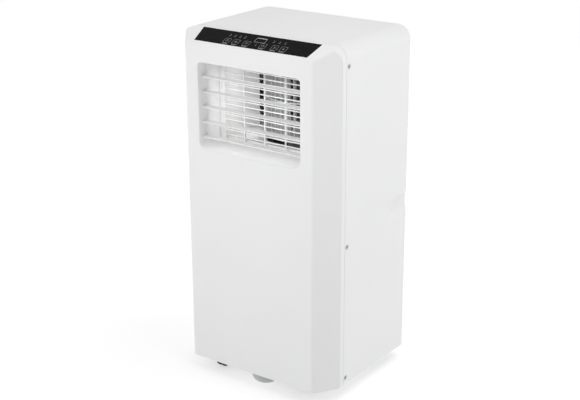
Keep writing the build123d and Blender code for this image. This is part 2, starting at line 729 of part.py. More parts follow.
def mid_deck():
    """Partition between the cold upper half and the warm lower half, with the coil's drip tray."""
    deck = extrude(Pos(0, 0, DECK_Z) * plan_face(PAN_INSET, NOSE_FILLET), amount=3)
    half = COIL_HALF + 6
    tray = block((-half, half), (EVAP_Y[0] - 8, TRAY_BACK), (DECK_Z + 1, DECK_Z + 30))
    hollow = block((-half + 2, half - 2), (EVAP_Y[0] - 6, TRAY_BACK - 2), (DECK_Z + 5, DECK_Z + 31))
    x, z = DRAINS["upper"]
    hole = rod_y((TRAY_BACK - 4, TRAY_BACK + 1), x, z, DRAIN_R - 3)
    pipe_slot = block((-HALF, -COIL_HALF), (40, 80), (DECK_Z - 1, DECK_Z + 4))
    return deck + tray - hollow - hole - pipe_slot


def coil(y, z, tubes, first_side):
    """Fin pack between two end plates, and the tube bends that stand out of them."""
    fins = block((-COIL_HALF + 2.2, COIL_HALF - 2.2), y, z)
    plates = [block((s * COIL_HALF - 1, s * COIL_HALF + 1), (y[0] - 3, y[1] + 3), z) for s in (-1, 1)]
    pitch = (z[1] - z[0]) / tubes
    mid = (y[0] + y[1]) / 2
    bends = []
    for i in range(tubes - 1):
        side = -first_side if i % 2 else first_side
        low = z[0] + pitch * (i + 0.5)
        ring = Pos(0, 0, low + pitch / 2) * Rot(90, 0, 0) * Torus(pitch / 2, BEND_R)
        half = block((0, pitch), (-9, 9), (low - 9, low + pitch + 9))
        bend = ring & half
        place = Pos(side * (COIL_HALF + 1.1), mid, 0)
        bends.append(place * (bend if side > 0 else mirror(bend, about=Plane.YZ)))
    return Compound([fins] + plates), Compound(bends)


def base_pan():
    """Moulded tray with a wall, four caster wells and the sump bowl's opening."""
    outer = extrude(Pos(0, 0, PAN_LOW) * plan_face(PAN_INSET, NOSE_FILLET), amount=PAN_HIGH - PAN_LOW)
    inner = extrude(Pos(0, 0, PAN_LOW + PAN_T) * plan_face(PAN_INSET + PAN_T, NOSE_FILLET), amount=PAN_HIGH)
    pan = outer - inner
    for x, y, turn in CASTERS.values():
        pan += rod_z(x, y, (PAN_LOW, WELL_TOP + PAN_T), WELL_R + PAN_T) & outer
        pan += rod_z(x, y, (WELL_TOP, WELL_TOP + 16), STEM_R + 4)
    for dx, dy in FEET:
        pan += rod_z(COMP[0] + dx, COMP[1] + dy, (PAN_LOW + 1, COMP_LOW - 8), 9)
    for x, y, turn in CASTERS.values():
        pan -= rod_z(x, y, (PAN_LOW - 1, WELL_TOP), WELL_R)
        pan -= rod_z(x, y, (WELL_TOP - 1, WELL_TOP + 17), STEM_R + RUN)
    for x, z, r in (DRAINS["lower"] + (DRAIN_R + 1,), INLET + (INLET_R + 3,)):
        pan -= rod_y((BACK - 20, BACK), x, z, r + GAP)
    for side in (-1, 1):
        reach = sorted((side * (HALF - 20), side * HALF))
        pan -= rod_x(reach, SCREW_Y, SCREW_Z[0], BOSS_R + GAP)
    return pan - rod_z(BOWL_X, BOWL_Y, (PAN_LOW - 1, PAN_LOW + PAN_T + 1), BOWL_R_TOP + GAP)


def sump_bowl():
    """Round bowl hung in the pan's opening by its flange."""
    wall = PAN_T - 1
    outer, inner = bowl_form(0), bowl_form(wall)
    flange = rod_z(BOWL_X, BOWL_Y, (PAN_LOW + PAN_T, PAN_LOW + PAN_T + 1.5), BOWL_R_TOP + 3)
    inside = block((-HALF, HALF), (FRONT + PAN_INSET + PAN_T + GAP, BACK), (PAN_LOW, PAN_HIGH))
    return (outer + (flange & inside)) - inner


def bowl_form(inset):
    """The bowl as a turned profile, moved in by inset."""
    top = PAN_LOW + PAN_T + (2 if inset else 0.7)
    r_top, r_low, low = BOWL_R_TOP - inset, BOWL_R_LOW - inset, BOWL_LOW + inset
    corner = r_low - 8
    line = Polyline((0, top), (r_top, top), (r_top, PAN_LOW - 2))
    curve = Spline((r_top, PAN_LOW - 2), (r_low, low + 4.5), (corner, low), tangents=((0, -1), (-1, 0)))
    close = Polyline((corner, low), (0, low), (0, top))
    face = make_face(line + curve + close)
    return Pos(BOWL_X, BOWL_Y, 0) * revolve(Plane.XZ * face, Axis.Z)


def caster_pose(place, shape):
    """Puts a caster drawn at the origin, its axle trailing towards +X, at its stem and angle."""
    x, y, turn = CASTERS[place]
    return Pos(x, y, 0) * Rot(0, 0, turn) * shape


def caster_fork(place):
    """Hooded fork with its stem and its axle pin."""
    top = WELL_TOP - 0.5
    web = Pos(TRAIL, 0, WHEEL_R) * Rot(90, 0, 0) * Cylinder(WHEEL_R - 3, WEB)
    hood = Cylinder(HOOD_R, HOOD_W) - Cylinder(HOOD_R - 2, HOOD_W + 2)
    hood = Pos(TRAIL, 0, WHEEL_R) * Rot(90, 0, 0) * hood
    hood &= block((-40, 40), (-20, 20), (WHEEL_R + 2, 60))
    fork = web + block((TRAIL - 6, TRAIL + 6), (-WEB / 2, WEB / 2), (WHEEL_R, WHEEL_R + HOOD_R - 1)) + hood
    fork += rod_z(0, 0, (WHEEL_R + HOOD_R - 5, top), 11) - rod_y((-20, 20), TRAIL, WHEEL_R, HOOD_R - 1)
    fork += rod_z(0, 0, (top - 1, top + 15), STEM_R)
    fork += rod_y((-WEB / 2 - WHEEL_W - 1, WEB / 2 + WHEEL_W + 1), TRAIL, WHEEL_R, AXLE_R)
    return caster_pose(place, fork)


def caster_wheels(place):
    """Twin wheels on one axle."""
    solids = []
    for side in (-1, 1):
        y = sorted((side * (WEB / 2 + 0.4), side * (WEB / 2 + 0.4 + WHEEL_W)))
        wheel = rod_y(y, TRAIL, WHEEL_R, WHEEL_R)
        wheel = fillet(wheel.edges().filter_by(GeomType.CIRCLE), 1.5)
        wheel -= rod_y((y[0] - 1, y[1] + 1), TRAIL, WHEEL_R, AXLE_R + RUN)
        solids.append(wheel)
    return caster_pose(place, Compound(solids))


def compressor():
    """Welded steel can with domed ends and three mounting feet, and the pump inside it as one solid."""
    can = rod_z(*COMP, (COMP_LOW, COMP_HIGH), COMP_R)
    can = fillet(can.edges().filter_by(GeomType.CIRCLE), CAN_ROUND)
    for dx, dy in FEET:
        lug = rod_z(COMP[0] + dx, COMP[1] + dy, (COMP_LOW, COMP_LOW + 4), 11)
        turn = Rot(0, 0, math.degrees(math.atan2(dy, dx)))
        bar = Pos(COMP[0] + dx / 2, COMP[1] + dy / 2, COMP_LOW + 2) * turn
        lug += bar * Box(math.hypot(dx, dy), 22, 4)
        can += lug
        can -= rod_z(COMP[0] + dx, COMP[1] + dy, (COMP_LOW - 1, COMP_LOW + 5), 5)
    hollow = rod_z(*COMP, (COMP_LOW + CAN_T, COMP_HIGH - CAN_T), COMP_R - CAN_T)
    can -= fillet(hollow.edges().filter_by(GeomType.CIRCLE), CAN_ROUND - CAN_T)
    pump = rod_z(*COMP, (COMP_LOW + CAN_T, COMP_HIGH - PUMP_GAP), PUMP_R)
    return Compound([can, pump])


def compressor_grommets():
    """Rubber feet between the compressor and the pan."""
    solids = []
    for dx, dy in FEET:
        foot = rod_z(COMP[0] + dx, COMP[1] + dy, (COMP_LOW - 8 + GAP, COMP_LOW - GAP), 9)
        foot += rod_z(COMP[0] + dx, COMP[1] + dy, (COMP_LOW - 1, COMP_LOW + 8), 4.5)
        solids.append(foot)
    return Compound(solids)


def terminal_cover():
    cover = rod_z(*COMP, (COMP_HIGH + GAP, COMP_HIGH + 24), 24)
    return fillet(cover.edges().group_by(Axis.Z)[-1], 6)


def accumulator():
    can = rod_z(*ACCU, (ACCU_LOW, ACCU_HIGH), ACCU_R)
    return fillet(can.edges().filter_by(GeomType.CIRCLE), 9)


def tube(points, bend, r):
    """Pipe of radius r along straight runs with round bends."""
    path = FilletPolyline(*points, radius=bend)
    section = Plane(origin=path @ 0, z_dir=path % 0) * Circle(r)
    return sweep(section, path)


def row_height(z, rows, row):
    return z[0] + (z[1] - z[0]) / rows * (row + 0.5)


def suction_pipe():
    """From the evaporator's left end down to the accumulator."""
    x, y = ACCU
    mid = (EVAP_Y[0] + EVAP_Y[1]) / 2
    low, high = SUCTION_Z, row_height(EVAP_Z, EVAP_ROWS, 0)
    points = [(x, y, ACCU_HIGH), (x, y, low), (x, 60, low), (x, 60, high), (x, mid, high)]
    return tube(points + [(-COIL_HALF - 1, mid, high)], 8, 4.5)


def discharge_pipe():
    """From the compressor's top to the condenser's left end."""
    x, y = COMP[0] - 30, COMP[1]
    mid = (COND_Y[0] + COND_Y[1]) / 2
    turn = -COIL_HALF - 12
    high, low = COMP_HIGH + 16, row_height(COND_Z, COND_ROWS, COND_ROWS - 1)
    points = [(x, y, COMP_HIGH), (x, y, high), (x, mid, high), (turn, mid, high), (turn, mid, low)]
    return tube(points + [(-COIL_HALF - 1, mid, low)], 7, 3.2)


def liquid_line():
    """Pipe from the condenser, the filter drier it runs into, and the coiled capillary above it."""
    x, y = DRIER
    mid = (COND_Y[0] + COND_Y[1]) / 2
    low = row_height(COND_Z, COND_ROWS, 0)
    pipe = tube([(COIL_HALF + 1, mid, low), (x, mid, low), (x, y, low), (x, y, DRIER_Z[0])], 8, 3.2)
    drier = rod_z(x, y, DRIER_Z, DRIER_R)
    drier = fillet(drier.edges().filter_by(GeomType.CIRCLE), 5)
    rings = [Pos(x - 8, y, DRIER_Z[1] + 12 + 3.2 * i) * Torus(14, 1.2) for i in range(4)]
    return Compound([pipe, drier] + rings)


def electrical_box():
    inner_x, inner_z = shrink(EBOX_X, 2), shrink(EBOX_Z, 2)
    return block(EBOX_X, EBOX_Y, EBOX_Z) - block(inner_x, (EBOX_Y[0] + 2, EBOX_Y[1] + 1), inner_z)


def power_board():
    return block(shrink(EBOX_X, 8), (EBOX_Y[0] + 7, EBOX_Y[0] + 7 + BOARD_T), shrink(EBOX_Z, 8))


def capacitor():
    can = rod_z(CAP[0], CAP[1], CAP[2], 17)
    return fillet(can.edges().group_by(Axis.Z)[-1], 2)


def float_switch():
    x, y = FLOAT
    stem = rod_z(x, y, (PAN_LOW + PAN_T + GAP, PAN_LOW + 42), 4)
    body = rod_z(x, y, (PAN_LOW + 12, PAN_LOW + 26), 11) + stem
    return body + block((x - 3, x + 3), (y - 3, y + 20), (PAN_LOW + 36, PAN_LOW + 42))


def drain_cap(place):
    """Rubber bung pushed into its drain outlet."""
    x, z = DRAINS[place]
    plug = rod_y((BACK - 9, BACK), x, z, DRAIN_R)
    plug = fillet(plug.edges().group_by(Axis.Y)[-1], 1.5)
    return plug + rod_y((BACK - 15, BACK - 8), x, z, DRAIN_R - 3.2)


def drain_outlets():
    """Short spigots behind the back wall that the bungs close."""
    solids = []
    for x, z in DRAINS.values():
        outer = rod_y((TRAY_BACK + GAP, BACK - 9 - GAP), x, z, DRAIN_R + 1)
        solids.append(outer - rod_y((TRAY_BACK, BACK), x, z, DRAIN_R - 3.2 + GAP))
    return Compound(solids)


def mains_inlet():
    """Gland where a mains lead would leave."""
    x, z = INLET
    gland = rod_y((BACK - 14, BACK), x, z, INLET_R)
    gland += rod_y((BACK - 14, BACK - WALL - GAP), x, z, INLET_R + 3)
    return gland - rod_y((BACK - 30, BACK + 1), x, z, INLET_BORE)


def intake_frame(zone):
    """Slatted cover of a rear intake that carries its filter."""
    x = (-INTAKE_HALF + 0.5, INTAKE_HALF - 0.5)
    z = (zone[0] + 0.5, zone[1] - 0.5)
    y = (BACK - FRAME_T, BACK)
    frame = block(x, y, z) - block((x[0] + RIM, x[1] - RIM), (y[0] - 1, y[1] + 1), (z[0] + RIM, z[1] - RIM))
    count = int((z[1] - z[0] - 2 * RIM) / SLAT_PITCH)
    start = (z[0] + z[1]) / 2 - SLAT_PITCH * (count - 1) / 2
    for i in range(count):
        at = start + SLAT_PITCH * i
        frame += block((x[0] + 2, x[1] - 2), (y[0] + 1, y[1] - 0.8), (at - SLAT_T / 2, at + SLAT_T / 2))
    for i in (-1, 0, 1):
        rib = i * INTAKE_HALF / 2
        frame += block((rib - 1.5, rib + 1.5), (y[0] + 0.5, y[1] - 0.8), (z[0] + 2, z[1] - 2))
    for side in (-1, 1):
        at = side * INTAKE_HALF / 2
        frame -= block((at - 14, at + 14), (BACK - 2, BACK + 1), (z[1] - 7, z[1] + 1))
    return frame


def intake_filter(zone):
    """Fine net in its thin frame, clipped behind the slats."""
    x = (-INTAKE_HALF + 3, INTAKE_HALF - 3)
    y = (BACK - FRAME_T - 2.5, BACK - FRAME_T - GAP)
    return block(x, y, (zone[0] + 3, zone[1] - 3))


def build():
    keep("front_shell", front_shell())
    keep("rear_housing", rear_housing())
    keep("casing_screws", casing_screws())
    keep("outlet_duct", outlet_duct())
    keep("safety_grid", safety_grid())
    for i, z in enumerate(louver_heights()):
        keep(f"louver_{i + 1}", louver(z))
    keep("louver_link", louver_link())
    keep("control_lens", control_lens())
    keep("control_tray", control_tray())
    keep("control_board", control_board())
    keep("display_module", display_module())
    keep("touch_springs", touch_springs())
    keep("upper_blower", upper_blower())
    keep("upper_scroll", upper_scroll())
    keep("upper_scroll_cover", upper_scroll_cover())
    keep("upper_fan_motor", upper_fan_motor())
    keep("mid_deck", mid_deck())
    fins, bends = coil(EVAP_Y, EVAP_Z, EVAP_ROWS, 1)
    keep("evaporator_fins", fins)
    keep("evaporator_bends", bends)
    fins, bends = coil(COND_Y, COND_Z, COND_ROWS, -1)
    keep("condenser_fins", fins)
    keep("condenser_bends", bends)
    keep("lower_blower", lower_blower())
    keep("lower_scroll", lower_scroll())
    keep("lower_scroll_cover", lower_scroll_cover())
    keep("lower_fan_motor", lower_fan_motor())
    keep("exhaust_duct", exhaust_duct())
    keep("exhaust_socket", exhaust_socket())
    keep("base_pan", base_pan())
    keep("sump_bowl", sump_bowl())
    keep("compressor", compressor())
    keep("compressor_grommets", compressor_grommets())
    keep("terminal_cover", terminal_cover())
    keep("accumulator", accumulator())
    keep("suction_pipe", suction_pipe())
    keep("discharge_pipe", discharge_pipe())
    keep("liquid_line", liquid_line())
    keep("electrical_box", electrical_box())
    keep("power_board", power_board())
    keep("capacitor", capacitor())
    keep("float_switch", float_switch())
    keep("drain_outlets", drain_outlets())
    for place in DRAINS:
        keep(f"{place}_drain_cap", drain_cap(place))
    keep("mains_inlet", mains_inlet())
    keep("upper_intake_frame", intake_frame(UPPER_INTAKE))
    keep("upper_filter", intake_filter(UPPER_INTAKE))
    keep("lower_intake_frame", intake_frame(LOWER_INTAKE))
    keep("lower_filter", intake_filter(LOWER_INTAKE))
    for place in CASTERS:
        keep(f"caster_fork_{place}", caster_fork(place))
        keep(f"caster_wheels_{place}", caster_wheels(place))


build()
os.makedirs("parts", exist_ok=True)
for name, shape in PARTS.items():
    export_step(shape, f"parts/{name}.step")
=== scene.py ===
import json
import math
import bmesh
import bpy
from mathutils import Matrix, Vector


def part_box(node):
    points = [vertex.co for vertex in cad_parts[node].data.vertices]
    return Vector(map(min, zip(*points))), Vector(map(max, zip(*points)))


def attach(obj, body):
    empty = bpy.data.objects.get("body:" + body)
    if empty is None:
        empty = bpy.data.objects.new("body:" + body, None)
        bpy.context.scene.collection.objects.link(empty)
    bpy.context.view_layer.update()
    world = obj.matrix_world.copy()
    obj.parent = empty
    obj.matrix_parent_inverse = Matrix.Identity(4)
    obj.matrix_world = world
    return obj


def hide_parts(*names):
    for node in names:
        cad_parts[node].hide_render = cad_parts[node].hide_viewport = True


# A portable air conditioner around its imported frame. Metres, +Z up, the front faces -Y.

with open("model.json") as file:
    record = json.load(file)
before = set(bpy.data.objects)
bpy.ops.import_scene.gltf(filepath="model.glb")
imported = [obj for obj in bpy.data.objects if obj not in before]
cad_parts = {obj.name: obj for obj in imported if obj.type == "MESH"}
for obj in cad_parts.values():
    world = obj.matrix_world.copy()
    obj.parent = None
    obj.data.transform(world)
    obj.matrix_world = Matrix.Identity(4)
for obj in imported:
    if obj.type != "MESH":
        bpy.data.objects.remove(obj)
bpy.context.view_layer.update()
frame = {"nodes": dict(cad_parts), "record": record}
NODES = frame["nodes"]

# Camera
CAMERA_PLACE = (1.3519, -1.8849, 1.1724)
CAMERA_YAW = 0.6244
CAMERA_PITCH = -0.3427
CAMERA_ROLL = -0.0037
CAMERA_LENS = 77.9
CAMERA_NEAR = 0.05
SENSOR = 36.0

# Surroundings: the strength of the world's light, and where it fades from bright to dark
DARK_SIDE = (0.81, -0.58, 0.0)
DARK_START, DARK_END = 0.1, 1.0
WORLD_BRIGHT = 0.56
WORLD_DARK = 0.10
WORLD_SEEN = 1.0                 # what the camera itself sees
FLOOR_HALF = 30.0
FLOOR_GLOW = (0.56, 0.66)        # at the object and far from it
FLOOR_GLOW_RUN = (0.8, 2.5)      # the distances between which it changes

# Sloping panel; heights in its plane start at the lens's front edge
LENS_T = 0.002
LENS_SUNK = 0.00015              # the lens's face lies this far under the shell's slope
LENS_RUN = (0.0453, 0.0205)      # how far the slope goes back and up
BOARD_SUNK = 0.009               # the control board's top under the shell's slope
PAD_R = 0.0048
PAD_T = 0.00015

# Print on the panel
ICON_T = 0.00012
CROSSING_T = ICON_T * 1.2        # strokes that cross others lie a little higher
ICON_LINE = 0.0006
BUTTON_UP = 0.011
BUTTON_SIZE = 0.0070
BUTTON_X = (-0.0585, -0.038, -0.014, 0.023, 0.049, 0.0685)
BUTTON_CORNERS = (0.0018, 0.0012)
BUTTON_BAR = (0.0052, 0.0014)    # half width and height, as for the other bars
BUTTON_BAR_UP = BUTTON_UP - BUTTON_SIZE - 0.0010
SIGNS = ("power", "dot", "bars", "clock", "fan", "up")
SIGN_UP = BUTTON_UP + 0.0015
SIGN_SIZE = 0.0030
MIDDLE_MARK_X = 0.0075
MIDDLE_MARK_UP = (BUTTON_UP + 0.0022, BUTTON_UP - 0.0006)
MIDDLE_MARK = (0.0014, 0.0010)
LAMP_X = (-0.0615, -0.0505, -0.0385, -0.0275, 0.0375, 0.0500, 0.0625)
LAMP_UP = 0.0262
LAMP_BAR = (0.0020, 0.0010)
LAMP_DOT_UP = LAMP_UP + 0.0045
LAMP_DOT_R = 0.0011
DISPLAY_X = 0.009
DISPLAY_UP = 0.0267
DISPLAY_HALF = (0.0115, 0.0066)
DISPLAY_CORNERS = (0.0008, 0.0005)
DISPLAY_BAND = (0.002, 0.0018)   # the band along the top: its ends' inset and its lower edge

# Louvers: the height of the lowest pair of pins, and the step to the next
LOUVER_LOW = 0.4871
LOUVER_PITCH = 0.0291

# Coils
FIN_PITCH = 0.0021
FIN_T = 0.00035
FIN_INSET = 0.003
END_PLATE = 0.002
TUBE_R = 0.0036
TUBE_OUT = 0.001

# Filter net
NET_PITCH = 0.0027
NET_T = 0.0003
NET_RIM = 0.006
NET_RIM_HALF = 0.0009

# Contact springs
SPRING_R = 0.0031
SPRING_WIRE = 0.00028
SPRING_LOW = -LENS_T - 0.0062
SPRING_TALL = 0.0055
SPRING_TURNS = 4
SPRING_STEPS = 14

# How far added details sink into the surface that they sit on
SINK = 0.0002

# Caster hubs: (radius, height) outwards from the wheel's face; a spoke's low and high corners
HUB_CAP = ((0, 0.0018), (0.0035, 0.0016), (0.0058, 0.0009), (0.0068, -0.0004), (0, -0.0004))
HUB_RIM = ((0.0118, -0.0004), (0.0132, -0.0004), (0.0132, 0.0005), (0.0118, 0.0005))
HUB_SPOKE = ((0.0060, -0.0007, -0.0004), (0.0122, 0.0007, 0.0004))
HUB_SPOKES = 6

# Compressor; the feet's places from its axis, and the clip's (half width, height) from the cover's top
COMP_R = 0.055
COMP_FEET = ((-0.050, -0.036), (0.050, -0.036), (0.0, 0.060))
WELD_R = 0.0013
WELD_LOW = 0.052                 # up from the can's bottom
WELD_HIGH = 0.046                # down from its top
CLIP_HALF = ((0.0245, -0.020), (0.0245, -0.004), (0.019, 0.0008))
CLIP_WIRE = 0.0008
BOLT_R = 0.0036
BOLT_TALL = 0.0045
BOLT_GAP = 0.0001

# Motor ribs
MOTOR_R = 0.038
RIBS = 24
RIB_HALF = 0.0012
RIB_OUT = 0.0010
RIB_START = 0.006
UPPER_RIB_END = 0.024
LOWER_RIB_END = 0.030

# Power board: place across and up and size as fractions of the board, thickness and radius in metres
RELAYS = ((0.14, 0.70, 0.12, 0.20), (0.30, 0.70, 0.12, 0.20), (0.46, 0.70, 0.12, 0.20))
RELAY_T = 0.011
CHIPS = ((0.70, 0.30, 0.16, 0.14), (0.50, 0.30, 0.07, 0.12), (0.84, 0.62, 0.08, 0.10))
CHIP_T = 0.002
CHIP_LEGS = 7
CHIP_LEG_ROW = 0.86              # the part of the chip's width that the row of legs takes
CHIP_LEG = (0.0003, 0.0008, 0.0012)      # half width, thickness, and how far it stands out
CANS = ((0.14, 0.26, 0.0075, 0.020), (0.28, 0.26, 0.0055, 0.014), (0.66, 0.76, 0.0045, 0.011),
        (0.74, 0.76, 0.0045, 0.011), (0.90, 0.26, 0.0040, 0.009))
CAN_CHAMFER = 0.0008

# Sockets of the Mix node, which has one set for each kind of value
MIX_FACTOR = 0
MIX_FLOATS = (2, 3)
MIX_FLOAT_OUT = 0
MIX_COLORS = (6, 7)
MIX_COLOR_OUT = 2

# Lamps: name, place, target, size, power, spread in degrees
SOFTBOXES = (
    ("front_softbox", (-1.8, -2.4, 1.7), (0, 0, 0.4), (2.2, 2.0), 15, 180.0),
    ("right_softbox", (2.4, 1.9, 1.3), (0, 0, 0.35), (1.8, 2.2), 12.5, 180.0),
    ("top_softbox", (1.0, 0.2, 2.9), (0, 0, 0.5), (1.6, 1.6), 24, 180.0),
    ("outlet_softbox", (0.75, -1.9, 1.75), (0, -0.13, 0.56), (0.5, 0.5), 0.20, 24.0),
)
DUCT_FILLS = 4
DUCT_FILL_Y = -0.113
DUCT_FILL_SIZE = (0.21, 0.012)
DUCT_FILL_POWER = 0.008
INNER_FILLS = (
    ("ledge_fill", (0.0, -0.126, 0.4845), (0.0, -0.126, 0.4), (0.21, 0.010), 0.008),
    ("guide_fill", (-0.042, -0.066, 0.562), (-0.098, -0.02, 0.562), (0.03, 0.14), 0.030),
    ("drum_fill", (0.060, -0.084, 0.562), (0.040, 0.0, 0.562), (0.08, 0.14), 0.008),
)


def clamp(value, low, high):
    return max(low, min(high, value))


def evenly(low, high, pitch, margin):
    """Places from low to high, about a pitch apart, with the end ones a margin inside."""
    count = int((high - low) / pitch)
    return [clamp(low + (high - low) * i / count, low + margin, high - margin) for i in range(count + 1)]


def around(matrix, count):
    """The matrix turned round its own Z in even steps."""
    return [matrix @ Matrix.Rotation(2 * math.pi * k / count, 4, "Z") for k in range(count)]


class Build:
    """Collects plain solids into one mesh."""

    def __init__(self):
        self.verts = []
        self.faces = []

    def add(self, points, faces, matrix=None):
        start = len(self.verts)
        for p in points:
            v = Vector(p)
            self.verts.append(matrix @ v if matrix else v)
        self.faces += [tuple(start + i for i in f) for f in faces]

    def box(self, low, high, matrix=None):
        (x0, y0, z0), (x1, y1, z1) = low, high
        points = [(x0, y0, z0), (x1, y0, z0), (x1, y1, z0), (x0, y1, z0),
                  (x0, y0, z1), (x1, y0, z1), (x1, y1, z1), (x0, y1, z1)]
        faces = [(3, 2, 1, 0), (4, 5, 6, 7), (0, 1, 5, 4), (1, 2, 6, 5), (2, 3, 7, 6), (3, 0, 4, 7)]
        self.add(points, faces, matrix)

    def prism(self, outline, low, high, matrix=None):
        """Solid with a convex outline in XY between two heights."""
        n = len(outline)
        points = [(x, y, low) for x, y in outline] + [(x, y, high) for x, y in outline]
        faces = [tuple(reversed(range(n))), tuple(range(n, 2 * n))]
        faces += [(i, (i + 1) % n, n + (i + 1) % n, n + i) for i in range(n)]
        self.add(points, faces, matrix)

    def frame_of(self, outer, inner, low, high, matrix=None):
        """Closed band between two outlines with the same number of points."""
        n = len(outer)
        points = [(x, y, z) for z in (low, high) for ring in (outer, inner) for x, y in ring]
        faces = []
        for i in range(n):
            j = (i + 1) % n
            faces += [(i, j, 2 * n + j, 2 * n + i), (n + j, n + i, 3 * n + i, 3 * n + j),
                      (j, i, n + i, n + j), (2 * n + i, 2 * n + j, 3 * n + j, 3 * n + i)]
        self.add(points, faces, matrix)

    def turned(self, profile, sides, matrix=None):
        """Solid turned round Z from (radius, height) points; the first and last lie on the axis."""
        inner = profile[1:-1]
        points = [(0, 0, profile[0][1])]
        for r, z in inner:
            points += [(x, y, z) for x, y in circle_outline(r, sides=sides)]
        points.append((0, 0, profile[-1][1]))
        faces = []
        last = len(points) - 1
        for k in range(sides):
            m = (k + 1) % sides
            faces.append((0, 1 + m, 1 + k))
            for row in range(len(inner) - 1):
                a, b = 1 + row * sides, 1 + (row + 1) * sides
                faces.append((a + k, a + m, b + m, b + k))
            top = 1 + (len(inner) - 1) * sides
            faces.append((top + k, top + m, last))
        self.add(points, faces, matrix)

    def ring(self, profile, sides, matrix=None):
        """Closed ring turned round Z from a closed (radius, height) profile."""
        n = len(profile)
        points = []
        for k in range(sides):
            a = 2 * math.pi * k / sides
            points += [(r * math.cos(a), r * math.sin(a), z) for r, z in profile]
        faces = []
        for k in range(sides):
            m = (k + 1) % sides
            faces += [(k * n + i, m * n + i, m * n + (i + 1) % n, k * n + (i + 1) % n) for i in range(n)]
        self.add(points, faces, matrix)

    def tube(self, path, r, sides):
        """Round wire along points, with closed ends."""
        path = [Vector(p) for p in path]
        side = None
        start = len(self.verts)
        for i, p in enumerate(path):
            ahead = path[min(i + 1, len(path) - 1)] - path[max(i - 1, 0)]
            ahead.normalize()
            if side is None:
                side = ahead.orthogonal()
            side = (side - ahead * side.dot(ahead)).normalized()
            up = ahead.cross(side)
            for k in range(sides):
                a = 2 * math.pi * k / sides
                self.verts.append(p + (side * math.cos(a) + up * math.sin(a)) * r)
        for i in range(len(path) - 1):
            for k in range(sides):
                m = (k + 1) % sides
                a, b = start + i * sides, start + (i + 1) * sides
                self.faces.append((a + k, a + m, b + m, b + k))
        self.faces.append(tuple(reversed(range(start, start + sides))))
        end = start + (len(path) - 1) * sides
        self.faces.append(tuple(range(end, end + sides)))

    def piece(self, name, material, body, slot, replaces=(), bevel=0.0, smooth=40.0):
        """Makes the object, rides it on its body and hides the nodes that it stands for."""
        mesh = bpy.data.meshes.new(name)
        mesh.from_pydata([tuple(v) for v in self.verts], [], self.faces)
        mesh.validate()
        outward = bmesh.new()
        outward.from_mesh(mesh)
        bmesh.ops.recalc_face_normals(outward, faces=outward.faces)
        outward.to_mesh(mesh)
        outward.free()
        mesh.materials.append(material)
        obj = bpy.data.objects.new(name, mesh)
        bpy.context.scene.collection.objects.link(obj)
        if smooth:
            mesh.shade_smooth()
            mesh.set_sharp_from_angle(angle=math.radians(smooth))
        if bevel:
            cut = obj.modifiers.new("edge", "BEVEL")
            cut.width = bevel
            cut.segments = 2
            cut.limit_method = "ANGLE"
            cut.angle_limit = math.radians(40)
        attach(obj, body)
        if replaces:
            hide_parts(*replaces)
        return obj


def rounded_outline(half_x, half_y, r, centre=(0.0, 0.0), steps=5):
    """Rectangle outline with round corners, counter-clockwise."""
    points = []
    corners = ((1, 1, 0), (-1, 1, 90), (-1, -1, 180), (1, -1, 270))
    for sx, sy, start in corners:
        for k in range(steps + 1):
            a = math.radians(start + 90 * k / steps)
            x = centre[0] + sx * (half_x - r) + r * math.cos(a)
            y = centre[1] + sy * (half_y - r) + r * math.sin(a)
            points.append((x, y))
    return points


def circle_outline(r, centre=(0.0, 0.0), sides=24):
    """Regular outline, counter-clockwise."""
    turns = [2 * math.pi * k / sides for k in range(sides)]
    return [(centre[0] + r * math.cos(a), centre[1] + r * math.sin(a)) for a in turns]


# Materials

